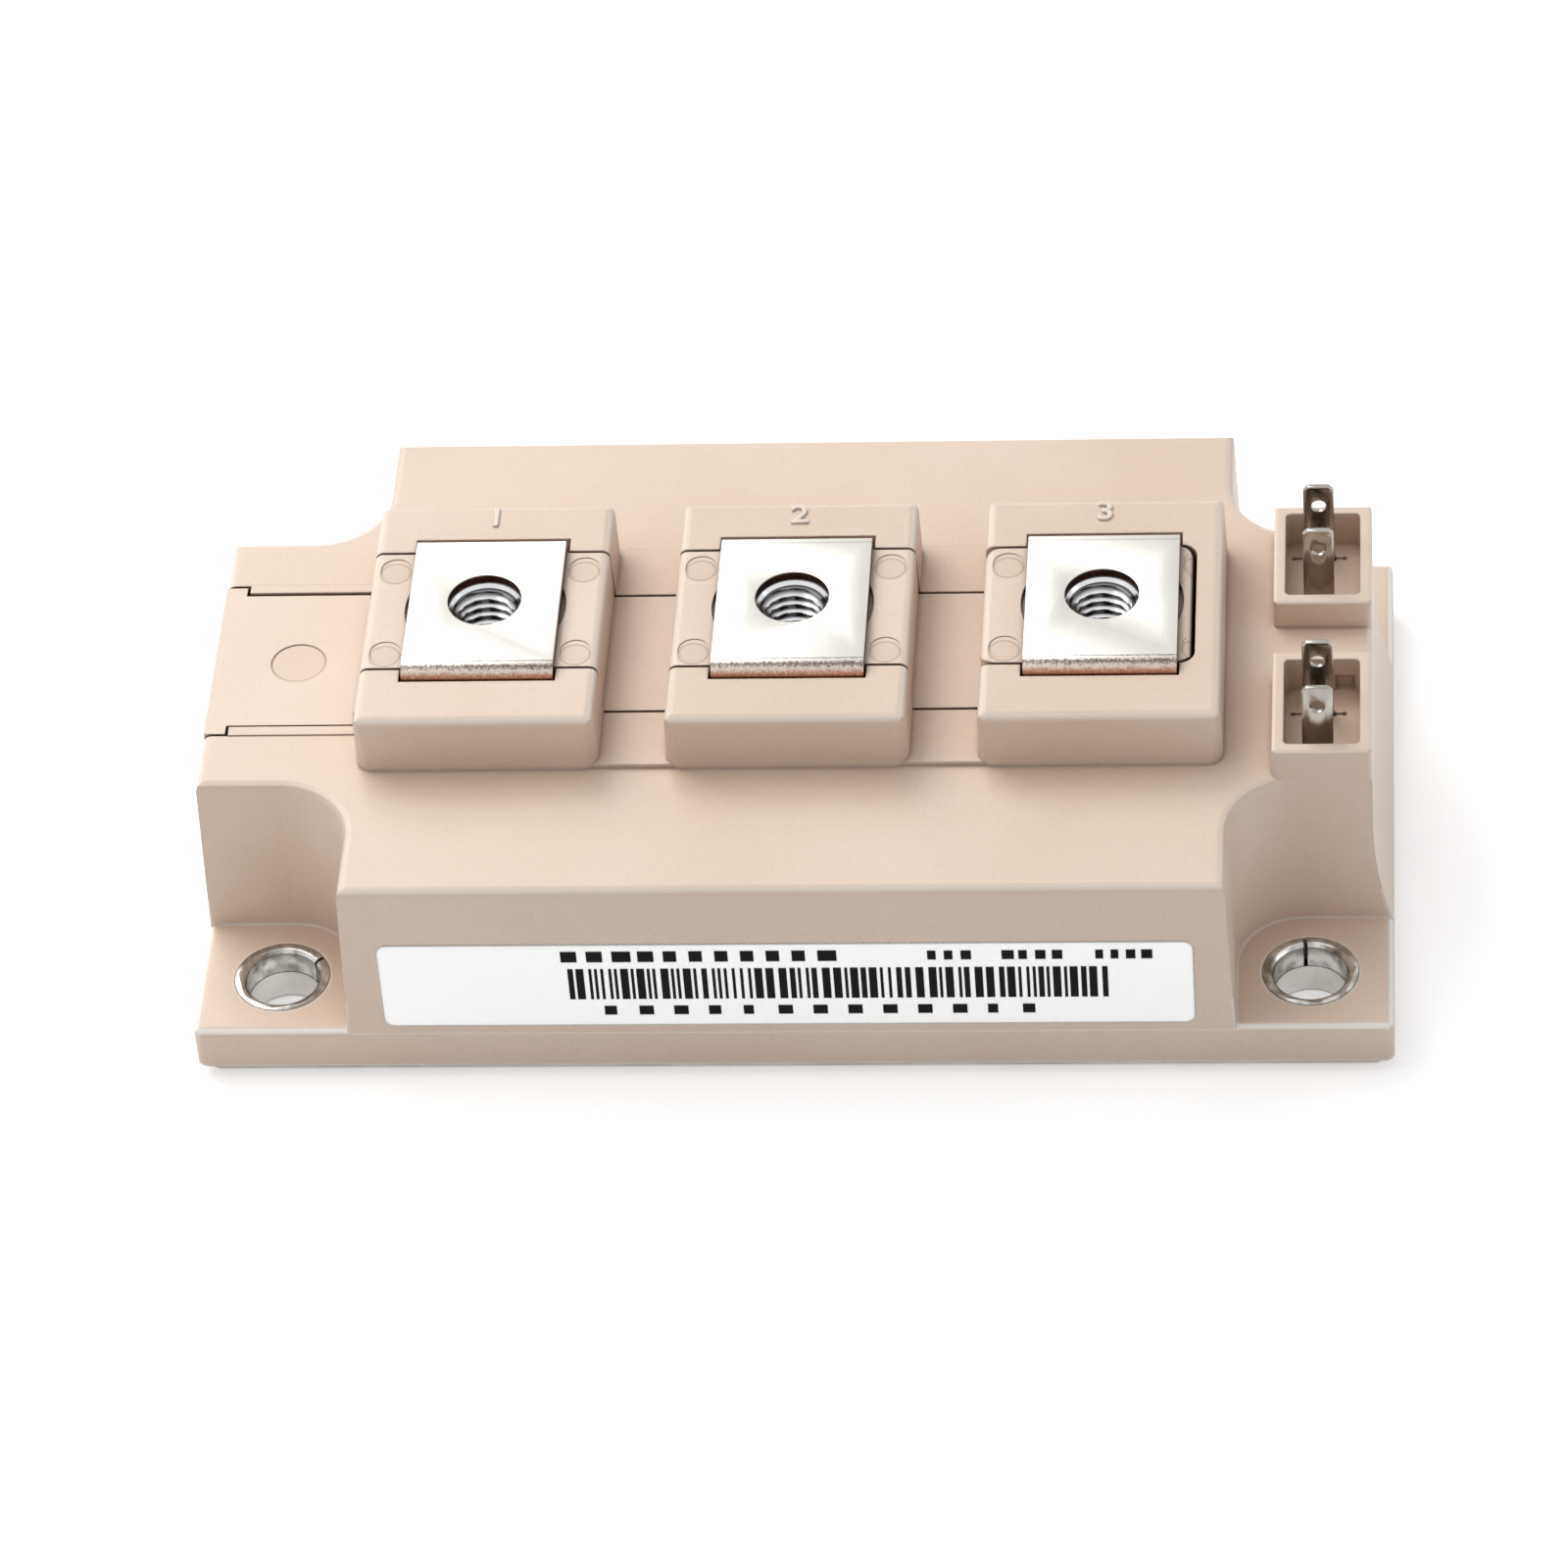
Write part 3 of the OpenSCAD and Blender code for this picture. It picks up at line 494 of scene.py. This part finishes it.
# going down over the bend: a dotted roll line, pale rubbed nickel, a dark band of painted reflection, pale
# again, then copper deepening to dark brown as painted shade towards the foot
bend_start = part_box("terminal_2")[0][1] + 0.0016
down = sums(tree, "SUBTRACT", strap_top, axes.outputs["Z"])
forward = sums(tree, "MAXIMUM", sums(tree, "SUBTRACT", bend_start, axes.outputs["Y"]), 0.0)
along_bend = sums(tree, "MULTIPLY", sums(tree, "ADD", down, forward), 250.0)
rubbing = sums(tree, "MULTIPLY", sums(tree, "SUBTRACT", speckle, 0.5), 0.34)
growing = sums(tree, "MINIMUM", sums(tree, "MULTIPLY", along_bend, 4.0), 1.0)
ragged = sums(tree, "ADD", along_bend, sums(tree, "MULTIPLY", rubbing, growing))
bend_wear_and_shade = shades(tree, ragged, [
    (0.020, chart(224, 222, 216)), (0.045, chart(96, 90, 86)), (0.080, chart(226, 221, 214)),
    (0.14, chart(208, 200, 192)), (0.22, chart(96, 84, 78)), (0.38, chart(214, 202, 192)),
    (0.54, chart(176, 128, 104)), (0.70, chart(160, 90, 62)), (0.92, chart(60, 33, 24))])
flank = sums(tree, "GREATER_THAN", sums(tree, "ABSOLUTE", slope.outputs["X"]), 0.5)
front = sums(tree, "MULTIPLY", sums(tree, "LESS_THAN", axes.outputs["Y"], bend_start),
             sums(tree, "SUBTRACT", 1.0, flank))
skin = blend(tree, "MIX", flat, bend_wear_and_shade, front)
# the line that the rolls leave near the strip's free edge
free_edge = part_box("terminal_2")[1][1]
from_line = sums(tree, "SUBTRACT", axes.outputs["Y"], free_edge - 0.00062)
roll_line = sums(tree, "MULTIPLY", sums(tree, "ABSOLUTE", from_line), 4000.0)
skin = blend(tree, "MULTIPLY", skin, shades(tree, roll_line, [(0.25, (0.80, 0.80, 0.79, 1)), (0.60, 1.0)]))
# the punched edges show the copper, painted dark brown as shade
cut_copper_in_shade = shades(tree, speckle, [(0.3, chart(52, 32, 26)), (0.7, chart(104, 66, 50))])
upright = shades(tree, sums(tree, "ABSOLUTE", slope.outputs["Z"]), [(0.25, 1.0), (0.45, 0.0)])
sideways = sums(tree, "MULTIPLY", upright, sums(tree, "SUBTRACT", 1.0, front))
skin = blend(tree, "MIX", skin, cut_copper_in_shade, sideways)
tree.links.new(skin, shader.inputs["Base Color"])
matt = shades(tree, rolling_lines, [(0.3, 0.36), (0.7, 0.44)])
matt = blend(tree, "MIX", matt, (0.42, 0.42, 0.42, 1), front)
tree.links.new(matt, shader.inputs["Roughness"])
surface(tree, shader, [(rolling_lines, 0.0000012), (speckle, 0.0000025)])
for i in (1, 2, 3):
    strap = broken_edges(f"terminal_{i}", 0.00010)
    cover(strap, strap_nickel)

# ---------------------------------------------------------------------------
# Label. A matt white film stuck along the lower part of the near long face,
# printed in black with plain dummy bars and short dashes that say nothing.
# ---------------------------------------------------------------------------

film, tree, shader = new_finish("label film")
place = tree.nodes.new("ShaderNodeTexCoord").outputs["Object"]
paper = mottle(tree, place, 900.0)
# the film is darkened in a thin line along its cut edge
turn, _ = edge_turn(tree, 0.00030)
edge_line = shades(tree, turn, [(0.93, (0.05, 0.045, 0.04, 1)), (0.992, 1.0)])
white = shades(tree, paper, [(0.3, chart(250, 250, 249)), (0.7, chart(255, 255, 254))])
white = blend(tree, "MULTIPLY", white, edge_line)
tree.links.new(white, shader.inputs["Base Color"])
# painted light: the film also glows faintly in its own white
tree.links.new(white, shader.inputs["Emission Color"])
tree.links.new(shades(tree, paper, [(0.3, 0.45), (0.7, 0.55)]), shader.inputs["Roughness"])
shader.inputs["Emission Strength"].default_value = 0.25
surface(tree, shader, [(paper, 0.000002)])
cover(nodes["label_film"], film)

ink, tree, shader = new_finish("black print")
place = tree.nodes.new("ShaderNodeTexCoord").outputs["Object"]
toner = mottle(tree, place, 3500.0)
black = shades(tree, toner, [(0.3, chart(6, 6, 7)), (0.7, chart(20, 19, 20))])
tree.links.new(black, shader.inputs["Base Color"])
tree.links.new(shades(tree, toner, [(0.3, 0.55), (0.7, 0.75)]), shader.inputs["Roughness"])
shader.inputs["Specular IOR Level"].default_value = 0.12

label_low, label_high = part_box("label_film")
lean = (label_high[1] - label_low[1] - 0.0001) / (label_high[2] - label_low[2])


def on_label(x, z):
    """A point just proud of the film, which leans back with the housing's face."""
    return (x, label_low[1] - 0.00002 + (z - label_low[2]) * lean, z)


strokes = []


def stroke(x0, x1, z0, z1):
    """One printed rectangle, kept as its four corners."""
    strokes.append((on_label(x0, z0), on_label(x1, z0), on_label(x1, z1), on_label(x0, z1)))


bars_low, bars_high = 0.0094, 0.0131
bars_left, bars_right = -0.0194, 0.0290
dice = random.Random(7)
x = bars_left
while x < bars_right:
    bar = dice.choice((0.00028, 0.00028, 0.00050, 0.00072))
    stroke(x, x + bar, bars_low, bars_high)
    x += bar + dice.choice((0.00022, 0.00028, 0.00044))
# rows of dashes: where each starts, ends and stands, how tall and wide its dashes are
for start, end, low, tall, wide in ((-0.0199, 0.0069, 0.0139, 0.0013, 0.0017),
                                    (0.0128, 0.0178, 0.0140, 0.0011, 0.0011),
                                    (0.0194, 0.0254, 0.0140, 0.0011, 0.0011),
                                    (0.0277, 0.0331, 0.0140, 0.0011, 0.0010),
                                    (-0.0164, 0.0250, 0.0075, 0.0011, 0.0013)):
    x = start
    while x + wide < end:
        stroke(x, x + wide * dice.choice((0.7, 0.85, 1.0)), low, low + tall)
        x += wide * (2.4 if low < bars_low else 1.35)
mesh = bpy.data.meshes.new("label_print")
corners = [corner for one in strokes for corner in one]
mesh.from_pydata(corners, [], [tuple(range(4 * k, 4 * k + 4)) for k in range(len(strokes))])
label_print = bpy.data.objects.new("label_print", mesh)
bpy.context.scene.collection.objects.link(label_print)
cover(label_print, ink)
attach(label_print, "root")

# ---------------------------------------------------------------------------
# Table, lamps and camera. The module lies on a plain white sheet inside a
# light tent, with one large soft lamp behind it and to the left, and is seen
# from above its labelled side with a long lens.
# ---------------------------------------------------------------------------


def seen_directly(tree):
    """One for what the camera, a mirror or a clear piece sees, none for light falling on a matt surface."""
    path = tree.nodes.new("ShaderNodeLightPath")
    seen = sums(tree, "MAXIMUM", path.outputs["Is Camera Ray"], path.outputs["Is Glossy Ray"])
    return sums(tree, "MAXIMUM", seen, path.outputs["Is Transmission Ray"])


table_mesh = bpy.data.meshes.new("table")
table_mesh.from_pydata([(-3, -3, 0), (3, -3, 0), (3, 3, 0), (-3, 3, 0)], [], [(0, 1, 2, 3)])
table = bpy.data.objects.new("table", table_mesh)
table.location = (0, 0, -0.0001)
bpy.context.scene.collection.objects.link(table)
sheet, tree, shader = new_finish("white sheet")
shader.inputs["Base Color"].default_value = (0.90, 0.90, 0.90, 1)
shader.inputs["Roughness"].default_value = 0.9
shader.inputs["Emission Color"].default_value = (1, 1, 1, 1)
tree.links.new(sums(tree, "MULTIPLY", seen_directly(tree), 0.42), shader.inputs["Emission Strength"])
cover(table, sheet)

world = bpy.data.worlds.new("light tent")
world.use_nodes = True
bpy.context.scene.world = world
tent = world.node_tree
glow = tent.nodes["Background"]
towards = tent.nodes.new("ShaderNodeTexCoord")
bright_side = put(tent, "ShaderNodeVectorMath", operation="DOT_PRODUCT")
bright_side.inputs[1].default_value = (-0.36, -0.10, 0.93)
tent.links.new(towards.outputs["Generated"], bright_side.inputs[0])
cloth = shades(tent, bright_side.outputs["Value"],
               [(0.0, (0.34, 0.36, 0.40, 1)), (0.5, (0.50, 0.50, 0.51, 1)), (1.0, (0.66, 0.65, 0.63, 1))])
tent.links.new(blend(tent, "MIX", cloth, (1, 1, 1, 1), seen_directly(tent)), glow.inputs["Color"])


def soft_lamp(name, stand, aim, size, watts, colour=(1, 1, 1)):
    lamp = bpy.data.lights.new(name, "AREA")
    lamp.shape = "SQUARE"
    lamp.size = size
    lamp.energy = watts
    lamp.color = colour
    holder = bpy.data.objects.new(name, lamp)
    holder.location = stand
    holder.rotation_euler = (Vector(aim) - Vector(stand)).to_track_quat("-Z", "Y").to_euler()
    bpy.context.scene.collection.objects.link(holder)


soft_lamp("big soft lamp", (-0.37, 0.46, 0.63), (0, 0, 0.01), 0.6, 4.4, (1.0, 0.985, 0.955))
soft_lamp("left lamp", (-0.26, -0.02, 0.46), (-0.04, 0, 0.01), 0.3, 0.34, (1.0, 0.99, 0.97))
soft_lamp("right lamp", (0.70, -0.05, 0.22), (0.05, 0, 0.01), 0.4, 0.45, (0.86, 0.93, 1.0))

lens = bpy.data.cameras.new("camera")
camera = bpy.data.objects.new("camera", lens)
bpy.context.scene.collection.objects.link(camera)
bpy.context.scene.camera = camera
lens.lens = 173.61
lens.sensor_width = 36.0
lens.clip_start = 0.01
azimuth, elevation, roll = map(math.radians, (6.66, 43.08, -5.01))
level = math.cos(elevation)
toward = Vector((math.sin(azimuth) * level, -math.cos(azimuth) * level, math.sin(elevation)))
right = Vector((0, 0, 1)).cross(toward).normalized()
up = toward.cross(right)
side = right * math.cos(roll) + up * math.sin(roll)
top = up * math.cos(roll) - right * math.sin(roll)
looked_at = Vector((-0.00216, 0, 0.00656))
stand = looked_at + toward * 0.69874
camera.matrix_world = Matrix.Translation(stand) @ Matrix((side, top, toward)).transposed().to_4x4()

bpy.context.scene.view_settings.view_transform = "Standard"
